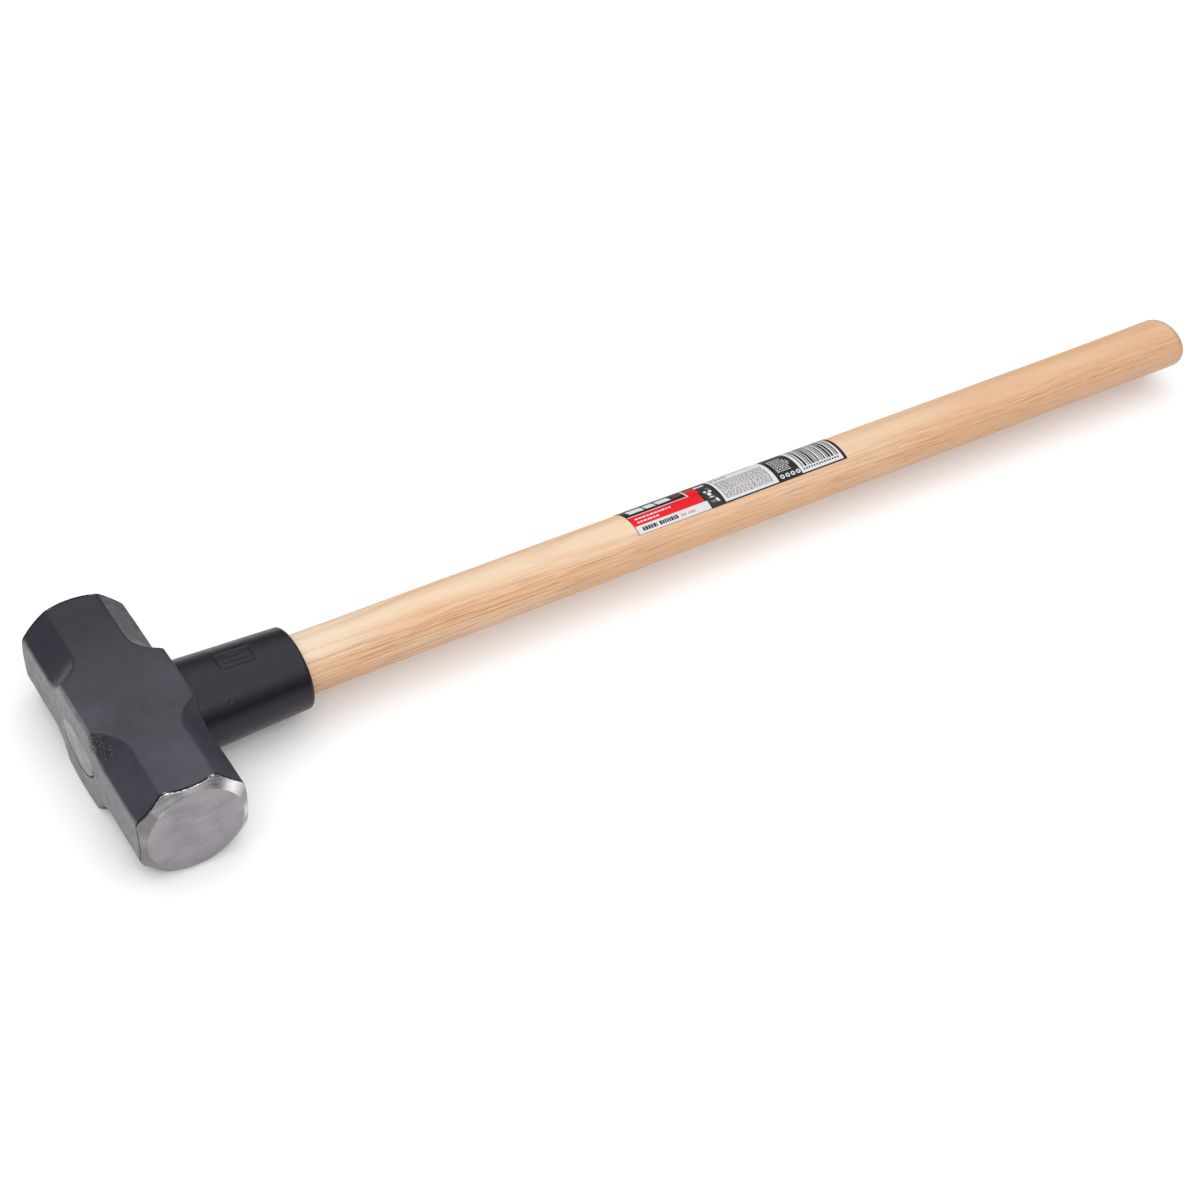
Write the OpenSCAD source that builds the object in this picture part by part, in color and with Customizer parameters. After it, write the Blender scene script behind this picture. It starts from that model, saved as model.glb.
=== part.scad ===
// Sledge hammer: double-faced forged head on a straight ash handle, with a
// wedged eye, an overstrike sleeve and a label.
// It lies on its lower cheek: +X runs along the handle to the butt, +Z is up.
// The origin is on the floor, straight below the centre of the eye.

/* [Head] */

// Side of the square head bar
head_w = 64.4; // [60:0.2:72]
// Length over the two striking faces
head_l = 178; // [165:1:195]
// Radius on the long edges of the middle block
head_edge_r = 2.5; // [1:0.5:4]
// Diameter of each flat ground striking face
face_d = 58.4; // [52:0.2:59]
// Slope of the ground chamfer, measured from the striking face
face_slope = 36.5; // [30:0.5:42]
// Distance from the head axis to each corner facet
facet_r = 34.1; // [33:0.1:36]
// Radius of the scoop that ends each corner facet
scoop_r = 26; // [20:1:32]
// Distance from the eye centre to the start of the scoop
scoop_y = 43; // [38:1:48]
// Height of the swell round the eye
eye_swell = 1.2; // [0.4:0.1:2]

/* [Eye] */

// Length of the eye, along the head
eye_l = 44; // [40:1:46]
// Width of the eye, across the head
eye_w = 30; // [26:1:33]
// Amount that the eye narrows at its waist, each side
eye_waist = 0.8; // [0.2:0.1:1.5]

/* [Handle] */

// Overall length, from the eye end to the butt
hammer_l = 900; // [880:5:915]
// Width of the oval grip, along the head
grip_w = 43.6; // [40:0.2:46]
// Thickness of the oval grip
grip_t = 33.8; // [31:0.2:36]
// Extra width at the neck, under the sleeve
neck_swell = 0; // [0:0.2:3]
// Extra width at the butt
butt_swell = 1.4; // [0:0.2:3]
// Radius round the edge of the butt
butt_r = 8; // [2:0.5:10]
// Height that the wood stands out of the eye
wood_proud = 0.3; // [0.2:0.1:1.5]

/* [Wedges] */

// Depth that the wooden wedge is driven to
wedge_l = 46; // [36:1:52]
// Thickness of the wooden wedge at its outer end
wedge_t = 5; // [3.5:0.5:6]
// Thickness of the wooden wedge at its tip
wedge_tip_t = 1.4; // [1:0.1:2]
// Depth that each steel wedge is driven to
steel_l = 24; // [18:1:30]
// Width of each steel wedge
steel_w = 19; // [14:1:21]
// Thickness of each steel wedge at its outer end
steel_t = 3.2; // [2:0.1:4]
// Thickness of each steel wedge at its tip
steel_tip_t = 0.8; // [0.5:0.1:1]
// Distance from the eye centre to each steel wedge
steel_y = 9.5; // [8:0.5:12]

/* [Sleeve] */

// Length of the overstrike sleeve
sleeve_l = 72; // [60:1:100]
// Width of the sleeve against the head
sleeve_w = 64; // [58:1:64]
// Width of the sleeve at its handle end
sleeve_end_w = 58; // [52:1:60]
// Thickness of the sleeve as a part of its width
sleeve_flat = 0.84; // [0.8:0.01:0.9]
// Radius round the two outer edges of the sleeve
sleeve_r = 2.2; // [1:0.2:4]

/* [Label] */

// Distance from the eye centre to the near end of the label
label_x = 350; // [300:5:400]
// Length of the label
label_l = 177; // [140:1:200]
// Thickness of the label
label_t = 0.3; // [0.3:0.1:0.5]
// Turn of the label round the handle, away from the top
label_turn = 28.6; // [0:0.2:40]
// Height above the handle axis where the label is cut off
label_cut = 6.8; // [4:0.2:9]

/* [Hidden] */

$fn = 96;
// Flat sides round each lofted oval
sides = 60;
// Sections along each lofted blend and round each lofted edge
steps = 6;
eps = 1;
half_w = head_w / 2;
half_l = head_l / 2;
axis_z = half_w;
corner_r = half_w * sqrt(2);
face_r = face_d / 2;
chamfer_l = (head_w - face_r) * tan(face_slope);
// The swell is an arc that dies out at swell_y on each side of the eye
swell_y = 31;
swell_r = (swell_y * swell_y + eye_swell * eye_swell) / (2 * eye_swell);
eye_x = -half_w - eye_swell;
eye_r = eye_l / 2;
eye_flat = eye_w / eye_l;
wood_x = eye_x - wood_proud;
butt_x = wood_x + hammer_l;
grip_flat = grip_t / grip_w;
sleeve_end_x = half_w + sleeve_l;
neck_end_x = sleeve_end_x + 90;
butt_start_x = butt_x - 90;

// Rises smoothly from 0 at x = a to 1 at x = b
function ease(x, a, b) =
    let (t = max(0, min(1, (x - a) / (b - a))))
    t * t * (3 - 2 * t);

// Half the width of the bare wood at x
function wood_half(x) = grip_w / 2
    + neck_swell / 2 * (1 - ease(x, sleeve_end_x, neck_end_x))
    + butt_swell / 2 * ease(x, butt_start_x, butt_x - butt_r);

// Sections [x, half width] of a quarter round of radius r that meets half width
// w at x; dir is 1 where it closes towards +X and -1 where it opens
function quarter(x, w, r, dir) = [
    for (i = [0 : steps])
        let (a = 90 * (dir > 0 ? i : steps - i) / steps)
        [x + dir * r * sin(a), w - r + r * cos(a)]
];

// Skins sections [x, half width] into an oval solid whose thickness is flat
// times its width
module oval_loft(sections, flat) {
    last = len(sections) - 1;
    points = [
        for (s = sections, i = [0 : sides - 1])
            let (a = 360 * i / sides)
            [s[0], s[1] * cos(a), s[1] * flat * sin(a)]
    ];
    skin = [
        for (k = [0 : last - 1], i = [0 : sides - 1])
            let (a = k * sides + i, b = k * sides + (i + 1) % sides)
            each [[a, a + sides, b], [b, a + sides, b + sides]]
    ];
    near_cap = [for (i = [0 : sides - 1]) i];
    far_cap = [for (i = [0 : sides - 1]) last * sides + sides - 1 - i];
    translate([0, 0, axis_z])
        polyhedron(points = points, faces = concat(skin, [near_cap, far_cap]));
}

// Head bar with rounded long edges, as deep as the swell
module head_bar() {
    deep = head_w + eye_swell;
    translate([-eye_swell / 2, half_l + eps, axis_z])
        rotate([90, 0, 0])
            linear_extrude(height = head_l + 2 * eps) {
                square([deep, head_w - 2 * head_edge_r], center = true);
                square([deep - 2 * head_edge_r, head_w], center = true);
                for (sx = [-1, 1], sy = [-1, 1])
                    translate([sx * (deep / 2 - head_edge_r), sy * (half_w - head_edge_r)])
                        circle(r = head_edge_r);
            }
}

// Plan of the head: straight, but for a low arc round the eye
module head_plan()
    translate([0, 0, -eps])
        linear_extrude(height = head_w + 2 * eps) {
            square([head_w, head_l + 2 * eps], center = true);
            intersection() {
                translate([eye_x + swell_r, 0])
                    circle(r = swell_r, $fn = 720);
                translate([-half_w, 0])
                    square([head_w, 2 * swell_y + eps], center = true);
            }
        }

// Turned outline that leaves both striking faces flat and their rims chamfered
module end_outline()
    translate([0, 0, axis_z])
        rotate([90, 0, 0])
            rotate_extrude()
                polygon([
                    [0, -half_l],
                    [face_r, -half_l],
                    [head_w, chamfer_l - half_l],
                    [head_w, half_l - chamfer_l],
                    [face_r, half_l],
                    [0, half_l]
                ]);

// Cutter for one corner facet and the scoop that ends it
module facet_cutter()
    translate([0, scoop_y, facet_r]) {
        translate([-half_w, 0, 0])
            cube([head_w, half_l, corner_r - facet_r + eps]);
        translate([-half_w, 0, scoop_r])
            rotate([0, 90, 0])
                cylinder(r = scoop_r, h = head_w);
    }

// Oval eye, which narrows to a waist at the middle of the head
module eye_shape()
    oval_loft(
        [
            [wood_x, eye_r],
            [0, eye_r - eye_waist],
            [half_w + eps, eye_r]
        ],
        eye_flat
    );

module head()
    color([0.27, 0.27, 0.29])
        difference() {
            intersection() {
                head_bar();
                head_plan();
                end_outline();
            }
            for (turn = [45, 135, 225, 315], end = [0, 1])
                translate([0, 0, axis_z])
                    rotate([0, turn, 0])
                        mirror([0, end, 0])
                            facet_cutter();
            eye_shape();
        }

// Wedge profile that tapers from the eye end to its tip
module wedge_profile(length, thick, tip)
    polygon([
        [0, -thick / 2],
        [length, -tip / 2],
        [length, tip / 2],
        [0, thick / 2]
    ]);

// Wooden wedge along the eye, before it is trimmed to the tenon
module wood_wedge_blank()
    translate([wood_x, eye_r + eps, axis_z])
        rotate([90, 0, 0])
            linear_extrude(height = eye_l + 2 * eps)
                wedge_profile(wedge_l, wedge_t, wedge_tip_t);

// Steel wedge across the wooden one, at y from the eye centre
module steel_wedge(y)
    translate([wood_x, y, axis_z - steel_w / 2])
        linear_extrude(height = steel_w)
            wedge_profile(steel_l, steel_t, steel_tip_t);

// Oval body of the handle, from the head to the rounded butt
module handle_body()
    oval_loft(
        concat(
            [[half_w, wood_half(half_w)]],
            [
                for (i = [0 : steps])
                    let (x = sleeve_end_x + (neck_end_x - sleeve_end_x) * i / steps)
                    [x, wood_half(x)]
            ],
            [
                for (i = [0 : steps - 1])
                    let (x = butt_start_x + (butt_x - butt_r - butt_start_x) * i / steps)
                    [x, wood_half(x)]
            ],
            quarter(butt_x - butt_r, wood_half(butt_x), butt_r, 1)
        ),
        grip_flat
    );

module handle()
    color([0.86, 0.74, 0.56])
        difference() {
            union() {
                eye_shape();
                handle_body();
            }
            wood_wedge_blank();
            steel_wedge(-steel_y);
            steel_wedge(steel_y);
        }

module wood_wedge()
    color([0.45, 0.44, 0.43])
        difference() {
            intersection() {
                wood_wedge_blank();
                eye_shape();
            }
            steel_wedge(-steel_y);
            steel_wedge(steel_y);
        }

module steel_wedge_1()
    color([0.5, 0.5, 0.52])
        steel_wedge(-steel_y);

module steel_wedge_2()
    color([0.5, 0.5, 0.52])
        steel_wedge(steel_y);

// Overstrike sleeve: a tapered oval collar that the neck of the handle fills
module sleeve()
    color([0.1, 0.1, 0.11])
        difference() {
            oval_loft(
                concat(
                    quarter(half_w + sleeve_r, sleeve_w / 2, sleeve_r, -1),
                    quarter(sleeve_end_x - sleeve_r, sleeve_end_w / 2, sleeve_r, 1)
                ),
                sleeve_flat
            );
            oval_loft(
                [
                    [half_w - eps, wood_half(half_w)],
                    [sleeve_end_x + eps, wood_half(half_w)]
                ],
                grip_flat
            );
        }

// Oval skin over the straight middle of the grip, cut off below label_cut
module label()
    color([0.12, 0.12, 0.13])
        translate([label_x, 0, axis_z])
            rotate([90, 0, 90])
                linear_extrude(height = label_l)
                    intersection() {
                        difference() {
                            scale([1, grip_flat])
                                circle(r = grip_w / 2 + label_t);
                            scale([1, grip_flat])
                                circle(r = grip_w / 2);
                        }
                        rotate(-label_turn)
                            translate([-grip_w, label_cut])
                                square([2 * grip_w, grip_w]);
                    }

head();
handle();
wood_wedge();
steel_wedge_1();
steel_wedge_2();
sleeve();
label();
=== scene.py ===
"""Looks of the sledge hammer.

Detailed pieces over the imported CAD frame, with a studio floor, lights and camera."""

import math
import random

import bmesh
import bpy
import numpy as np
from mathutils import Euler, Matrix, Vector, noise


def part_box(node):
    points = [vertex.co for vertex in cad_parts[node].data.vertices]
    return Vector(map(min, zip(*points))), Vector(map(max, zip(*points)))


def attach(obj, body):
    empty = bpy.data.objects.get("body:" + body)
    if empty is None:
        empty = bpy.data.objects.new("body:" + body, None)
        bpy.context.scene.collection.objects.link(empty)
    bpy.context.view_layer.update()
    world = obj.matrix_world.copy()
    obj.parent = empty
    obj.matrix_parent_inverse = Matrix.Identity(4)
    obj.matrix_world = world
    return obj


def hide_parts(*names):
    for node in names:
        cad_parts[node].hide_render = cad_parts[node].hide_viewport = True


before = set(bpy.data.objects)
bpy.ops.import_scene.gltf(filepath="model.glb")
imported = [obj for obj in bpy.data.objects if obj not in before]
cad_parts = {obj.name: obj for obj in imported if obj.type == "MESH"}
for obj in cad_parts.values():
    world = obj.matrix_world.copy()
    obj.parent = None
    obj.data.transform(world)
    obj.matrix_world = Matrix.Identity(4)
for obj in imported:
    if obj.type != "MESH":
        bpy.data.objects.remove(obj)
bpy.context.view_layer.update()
MM = 0.001

# ---------------------------------------------------------------- dimensions
HEAD_LO, HEAD_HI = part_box("head")
HANDLE_LO, HANDLE_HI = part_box("handle")
_, SLEEVE_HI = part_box("sleeve")
LABEL_LO, LABEL_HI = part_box("label")

HALF_W = HEAD_HI.x  # half the side of the square head bar
HALF_L = HEAD_HI.y  # from the eye centre to a striking face
AXIS_Z = HALF_W  # height of the handle axis over the floor
EYE_SIDE = -HEAD_LO.x  # eye centre to the crown of the swell round the eye
SWELL_Y = 31 * MM  # where that swell has died out

FACE_R = 28.7 * MM  # flat part of a striking face
FACE_SLOPE = math.radians(36.5)  # ground chamfer, from the face
FACE_EDGE_R = 1.6 * MM  # rounding between face and chamfer
FACET_R = 34.1 * MM  # head axis to a corner facet
SCOOP_R = 26 * MM  # scoop that ends a facet
SCOOP_Y = 43 * MM  # where the scoop starts

EYE_R = 22 * MM  # half the length of the oval eye
EYE_FLAT = 30 / 44  # its width over its length
EYE_WAIST = 0.8 * MM

GRIP_R = 21.8 * MM  # half the width of the straight grip
GRIP_FLAT = 33.8 / 43.6
BUTT_SWELL = 0.7 * MM
BUTT_EDGE_R = 8 * MM
BLEND_L = 90 * MM  # length that the butt swells over

SLEEVE_R = 32 * MM
SLEEVE_END_R = 29 * MM
SLEEVE_FLAT = 0.84
SLEEVE_EDGE_R = 2.2 * MM
MARK_X = 67 * MM  # middle of the moulded mark
MARK_TURN = math.radians(88)  # its place round the sleeve; 90 degrees is the top
DIMPLE_X = 52 * MM
DIMPLE_TURN = math.radians(140)

WEDGE_T = 5 * MM
WEDGE_TIP_T = 1.4 * MM
WEDGE_L = 46 * MM
STEEL_T = 3.2 * MM
STEEL_TIP_T = 0.8 * MM
STEEL_L = 24 * MM
STEEL_W = 19 * MM
STEEL_Y = 9.5 * MM

FILM_T = 0.18 * MM  # label film
INK_T = 0.04 * MM  # printed blocks on the film

SLIVER = 0.004 * MM  # shortest edge that a cut may leave
FLOOR_GLOW = 0.14  # the floor is a lit table, which keeps the shadow soft
FLOOR_HALF = 40  # metres, so that no view sees its edge
FIN_Y = -26.5 * MM  # middle of the thin fin that the dies left beside the eye


# -------------------------------------------------------------- mesh helpers
def ease(x, a, b):
    """Rises smoothly from 0 at x = a to 1 at x = b."""
    t = np.clip((x - a) / (b - a), 0, 1)
    return t * t * (3 - 2 * t)


def soft_min(a, b, k):
    """Minimum of a and b with the corner between them rounded over a difference of k."""
    h = np.clip(k - np.abs(a - b), 0, None) / k
    return np.minimum(a, b) - h * h * k / 4


def new_object(name, verts, faces, material, smooth_angle=40):
    """Mesh object with one material, smooth but for edges sharper than smooth_angle."""
    mesh = bpy.data.meshes.new(name)
    mesh.from_pydata([tuple(v) for v in verts], [], [tuple(f) for f in faces])
    mesh.materials.append(material)
    finish_mesh(mesh, smooth_angle)
    obj = bpy.data.objects.new(name, mesh)
    bpy.context.scene.collection.objects.link(obj)
    return obj


def finish_mesh(mesh, smooth_angle=40):
    mesh.validate()
    mesh.shade_smooth()
    mesh.set_sharp_from_angle(angle=math.radians(smooth_angle))


def ring_faces(rows, columns):
    """Quads that join rows of ring points, with both ends closed by fans to one more point each."""
    faces = []
    for k in range(rows - 1):
        for i in range(columns):
            j = (i + 1) % columns
            a, b = k * columns + i, k * columns + j
            faces.append((a, a + columns, b + columns, b))
    near, far = rows * columns, rows * columns + 1
    last = (rows - 1) * columns
    for i in range(columns):
        j = (i + 1) % columns
        faces.append((near, i, j))
        faces.append((far, last + j, last + i))
    return faces


def ring_solid(rings):
    """Closed skin over a list of rings, each an (n, 3) array of points."""
    verts = np.concatenate(
        [np.concatenate(rings), [rings[0].mean(0)], [rings[-1].mean(0)]]
    )
    return verts, ring_faces(len(rings), len(rings[0]))


def oval_ring(x, half_y, half_z, columns, dy=0.0, dz=0.0):
    """Ring of an oval section at x, round the handle axis."""
    a = np.linspace(0, 2 * math.pi, columns, endpoint=False)
    return np.stack(
        [
            np.full(columns, x),
            half_y * np.cos(a) + dy,
            AXIS_Z + half_z * np.sin(a) + dz,
        ],
        1,
    )


def carve(obj, cutter):
    """Cuts cutter out of obj, deletes it, and clears the slivers that the cut leaves."""
    mod = obj.modifiers.new("carve", "BOOLEAN")
    mod.operation = "DIFFERENCE"
    mod.solver = "EXACT"
    mod.object = cutter
    graph = bpy.context.evaluated_depsgraph_get()
    mesh = bpy.data.meshes.new_from_object(obj.evaluated_get(graph))
    obj.modifiers.remove(mod)
    obj.data = mesh
    bpy.data.objects.remove(cutter)
    work = bmesh.new()
    work.from_mesh(mesh)
    bmesh.ops.remove_doubles(work, verts=work.verts, dist=SLIVER)
    bmesh.ops.dissolve_degenerate(work, edges=work.edges, dist=SLIVER)
    work.to_mesh(mesh)
    work.free()


def coords(mesh):
    co = np.empty(len(mesh.vertices) * 3)
    mesh.vertices.foreach_get("co", co)
    return co.reshape(-1, 3)


def point_attribute(mesh, name, values):
    layer = mesh.attributes.new(name, "FLOAT", "POINT")
    layer.data.foreach_set("value", np.asarray(values, np.float32))


def waves(points, size, seed):
    """Smooth noise from -1 to 1 at each point, with features about size wide."""
    shift = Vector((seed * 7.3, seed * 3.1, seed * 5.7))
    return np.array([noise.noise(Vector(p) / size + shift) for p in points])


# ----------------------------------------------------------- material helpers
class Nodes:
    """Short calls for building one material's node tree."""

    def __init__(self, name):
        self.material = bpy.data.materials.new(name)
        self.material.use_nodes = True
        self.tree = self.material.node_tree
        self.shader = self.tree.nodes["Principled BSDF"]

    def add(self, kind, **settings):
        node = self.tree.nodes.new(kind)
        for key, value in settings.items():
            setattr(node, key, value)
        return node

    def link(self, source, node, socket):
        self.tree.links.new(source, node.inputs[socket])

    def feed(self, node, socket, value):
        """Links value if it is a socket, and sets it otherwise."""
        if isinstance(value, bpy.types.NodeSocket):
            self.link(value, node, socket)
        else:
            node.inputs[socket].default_value = value

    def set(self, **values):
        """Sets shader sockets; underscores stand for spaces."""
        for key, value in values.items():
            self.feed(self.shader, key.replace("_", " "), value)

    def position(self):
        return self.add("ShaderNodeTexCoord").outputs["Object"]

    def attribute(self, name):
        return self.add("ShaderNodeAttribute", attribute_name=name).outputs["Fac"]

    def scaled(self, vector, scale, shift=(0, 0, 0), turn=(0, 0, 0)):
        node = self.add("ShaderNodeMapping")
        self.link(vector, node, "Vector")
        node.inputs["Location"].default_value = shift
        node.inputs["Rotation"].default_value = turn
        node.inputs["Scale"].default_value = scale
        return node.outputs["Vector"]

    def noise(self, vector, scale, detail=3.0, rough=0.5):
        node = self.add("ShaderNodeTexNoise")
        self.link(vector, node, "Vector")
        node.inputs["Scale"].default_value = scale
        node.inputs["Detail"].default_value = detail
        node.inputs["Roughness"].default_value = rough
        return node.outputs["Fac"]

    def math(self, operation, a, b=0.0, c=0.0):
        node = self.add("ShaderNodeMath", operation=operation)
        for index, value in enumerate((a, b, c)):
            self.feed(node, index, value)
        return node.outputs[0]

    def mul(self, a, b):
        return self.math("MULTIPLY", a, b)

    def plus(self, a, b):
        return self.math("ADD", a, b)

    def lobe(self, turn, at):
        """Cosine that is 1 where turn is at."""
        return self.math("COSINE", self.plus(turn, -at))

    def band(self, value, low, high, out_low=0.0, out_high=1.0):
        """Maps value from low..high to out_low..out_high, clamped."""
        node = self.add("ShaderNodeMapRange", clamp=True)
        for index, part in enumerate((value, low, high, out_low, out_high)):
            self.feed(node, index, part)
        return node.outputs[0]

    def mix(self, factor, a, b, blend="MIX"):
        node = self.add("ShaderNodeMix", data_type="RGBA", blend_type=blend)
        for index, value in ((0, factor), (6, a), (7, b)):
            if isinstance(value, tuple) and len(value) == 3:
                value = (*value, 1)
            self.feed(node, index, value)
        return node.outputs[2]

    def bump(self, height, strength, distance):
        node = self.add("ShaderNodeBump")
        self.link(height, node, "Height")
        node.inputs["Strength"].default_value = strength
        node.inputs["Distance"].default_value = distance
        return node.outputs["Normal"]

    def split(self, vector):
        node = self.add("ShaderNodeSeparateXYZ")
        self.link(vector, node, "Vector")
        return node.outputs

    def join(self, x, y, z):
        node = self.add("ShaderNodeCombineXYZ")
        for index, value in enumerate((x, y, z)):
            self.feed(node, index, value)
        return node.outputs["Vector"]


# ------------------------------------------------------------------ materials
def head_material():
    """Satin charcoal paint over forged steel, and bare ground steel where "ground" is above 0."""
    n = Nodes("forged_head")
    place = n.position()
    x, y, z = n.split(place)
    ground = n.attribute("ground")
    forged = n.attribute("forged")

    # paint: slow tone changes, painted shade that darkens the far end (+Y), fine orange peel, and
    # pits where the forging is rough
    tone = n.plus(n.noise(place, 22, 3), n.band(y, 0.0, 0.08, 0.01, -0.55))
    peel = n.noise(place, 900, 2)
    dust = n.noise(place, 2600, 2, 0.7)
    lumps = n.noise(place, 820, 3, 0.6)
    shaded_pits = n.mul(n.band(lumps, 0.5, 0.42), n.band(forged, 0.28, 0.62))
    highlit_beads = n.mul(n.band(lumps, 0.585, 0.63), n.band(forged, 0.34, 0.7))
    paint = n.mix(n.band(tone, 0.3, 0.7), (0.0225, 0.0195, 0.0305), (0.046, 0.0415, 0.060))
    # the rough forged scoops are painted darker: painted shade where they face away from the light
    paint = n.mix(n.mul(forged, 0.6), paint, (0.012, 0.011, 0.015))
    # the eye side is painted paler in a mottle, a painted highlight for the light that side
    # catches; pale scuffs are flecked over it
    eye_side = n.band(x, -HALF_W + 1.5 * MM, -HALF_W)
    mottle = n.band(n.noise(place, 130, 4, 0.65), 0.35, 0.65)
    scuffs = n.band(n.noise(place, 1050, 3, 0.7), 0.58, 0.7)
    paint = n.mix(n.mul(eye_side, n.band(mottle, 0, 1, 0.55, 0.95)), paint, (0.197, 0.187, 0.203))
    paint = n.mix(n.mul(n.mul(eye_side, scuffs), 0.5), paint, (0.4, 0.385, 0.4))
    paint = n.mix(n.band(dust, 0.5, 0.75, 0, 0.25), paint, (0.07, 0.07, 0.078))
    # pits are painted near black as shade in them, and beads are painted pale as highlights on
    # their tops
    paint = n.mix(n.mul(shaded_pits, 0.85), paint, (0.004, 0.004, 0.005))
    paint = n.mix(n.mul(highlit_beads, 0.5), paint, (0.16, 0.155, 0.17))
    paint_rough = n.band(n.noise(place, 160, 4), 0.3, 0.7, 0.36, 0.5)

    # ground steel: lines run round the chamfer and straight across the face
    up = n.math("SUBTRACT", z, AXIS_Z)
    radius = n.math("SQRT", n.plus(n.mul(x, x), n.mul(up, up)))
    turn = n.math("ARCTAN2", up, x)
    round_lines = n.noise(n.join(n.mul(turn, 0.0025), radius, y), 1300, 2, 0.5)
    face_lines = n.noise(n.scaled(place, (2600, 300, 160), turn=(0, 0.7, 0)), 1, 3, 0.65)
    on_chamfer = n.band(radius, FACE_R - 0.2 * MM, FACE_R + 0.5 * MM)
    lines = n.mix(on_chamfer, face_lines, round_lines)
    smudge = n.noise(place, 55, 3, 0.55)
    streaks = n.noise(n.scaled(place, (70, 70, 260), turn=(0, 0.6, 0)), 1, 4, 0.6)
    smudge = n.plus(n.mul(smudge, 0.65), n.mul(streaks, 0.35))
    steel = n.mix(n.band(smudge, 0.32, 0.68), (0.238, 0.218, 0.238), (0.375, 0.348, 0.37))
    steel = n.mix(n.band(lines, 0.35, 0.7, 0, 0.22), steel, (0.52, 0.50, 0.52))
    # the chamfer: painted reflections, eight bright patches round it and a broad painted highlight
    # on its upper side, over slow noise
    chamfer_reflections = n.mul(n.math("COSINE", n.plus(n.mul(turn, 8.0), 0.8)), 0.17)
    chamfer_reflections = n.plus(chamfer_reflections, n.mul(n.lobe(turn, 1.4), 0.36))
    chamfer_reflections = n.plus(chamfer_reflections, n.noise(n.join(turn, 0.0, y), 1.9, 2, 0.5))
    chamfer_steel = n.mix(n.band(chamfer_reflections, 0.5, 1.05), (0.24, 0.228, 0.24), (0.88, 0.865, 0.875))
    chamfer_steel = n.mix(n.band(round_lines, 0.4, 0.7, 0, 0.22), chamfer_steel, (0.6, 0.585, 0.6))
    # painted shade on the chamfer's side towards the eye
    chamfer_side_shade = n.band(n.lobe(turn, 3.05), 0.45, 0.9, 0, 0.8)
    chamfer_steel = n.mix(chamfer_side_shade, chamfer_steel, (0.182, 0.171, 0.176))
    # a narrow painted highlight on top, and a painted glint at the near (-Y) end
    chamfer_top_highlight = n.band(n.lobe(turn, 1.45), 0.9, 0.98, 0, 0.65)
    chamfer_steel = n.mix(chamfer_top_highlight, chamfer_steel, (0.93, 0.91, 0.93))
    glint = n.band(n.lobe(turn, 2.13), 0.965, 0.993, 0, 0.75)
    chamfer_steel = n.mix(n.mul(glint, n.band(y, 0, -1 * MM)), chamfer_steel, (0.95, 0.94, 0.95))
    steel = n.mix(on_chamfer, steel, chamfer_steel)
    face_rough = n.band(lines, 0.3, 0.7, 0.42, 0.55)
    chamfer_rough = n.band(round_lines, 0.3, 0.7, 0.24, 0.38)
    steel_rough = n.mix(on_chamfer, face_rough, chamfer_rough)

    # the paint ends in a ragged line with a few chips, and a dark band beside it that is painted
    # shade
    ragged = n.plus(ground, n.band(n.noise(place, 420, 4, 0.65), 0.3, 0.7, -0.35, 0.35))
    bare = n.band(ragged, 0.02, 0.14)
    paint_edge_shade = n.mul(n.band(ragged, -2.1, -1.1), n.band(ragged, 0.06, -0.02))
    corner = n.band(n.math("COSINE", n.mul(turn, 8.0)), -0.8, -0.98)
    chips = n.math(
        "MULTIPLY",
        n.band(ground, -2.2, -0.2),
        n.band(n.plus(n.noise(place, 1100, 3, 0.6), n.mul(corner, 0.17)), 0.655, 0.7),
    )
    bare = n.math("MAXIMUM", bare, chips)
    paint = n.mix(paint_edge_shade, paint, (0.004, 0.004, 0.005))

    n.set(
        Base_Color=n.mix(bare, paint, steel),
        Metallic=bare,
        Roughness=n.mix(bare, paint_rough, steel_rough),
        # specular is lowered along the dark paint edge and towards the far end, both painted shade
        Specular_IOR_Level=n.mul(n.band(paint_edge_shade, 0, 1, 0.5, 0.12), n.band(y, 0.03, 0.06, 1.0, 0.62)),
    )
    paint_height = n.plus(n.mul(peel, 0.25), n.mul(n.math("SUBTRACT", highlit_beads, shaded_pits), 1.4))
    steel_height = n.mul(lines, 0.1)
    height = n.plus(n.mix(bare, paint_height, steel_height), n.mul(bare, -0.6))
    n.set(Normal=n.bump(height, 0.5, 0.12 * MM))
    return n.material


def painted_end_material():
    """The same paint over end grain: dull, lighter and pored."""
    n = Nodes("painted_end_grain")
    place = n.position()
    pores = n.noise(n.scaled(place, (200, 1500, 900)), 1, 3, 0.7)
    tone = n.noise(place, 90, 3)
    paint = n.mix(n.band(tone, 0.3, 0.7), (0.24, 0.234, 0.245), (0.42, 0.41, 0.425))
    n.set(
        Base_Color=n.mix(n.band(pores, 0.58, 0.68), paint, (0.05, 0.05, 0.05)),
        Roughness=n.band(pores, 0.3, 0.7, 0.4, 0.6),
        Normal=n.bump(pores, 0.6, 0.15 * MM),
    )
    return n.material


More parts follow.
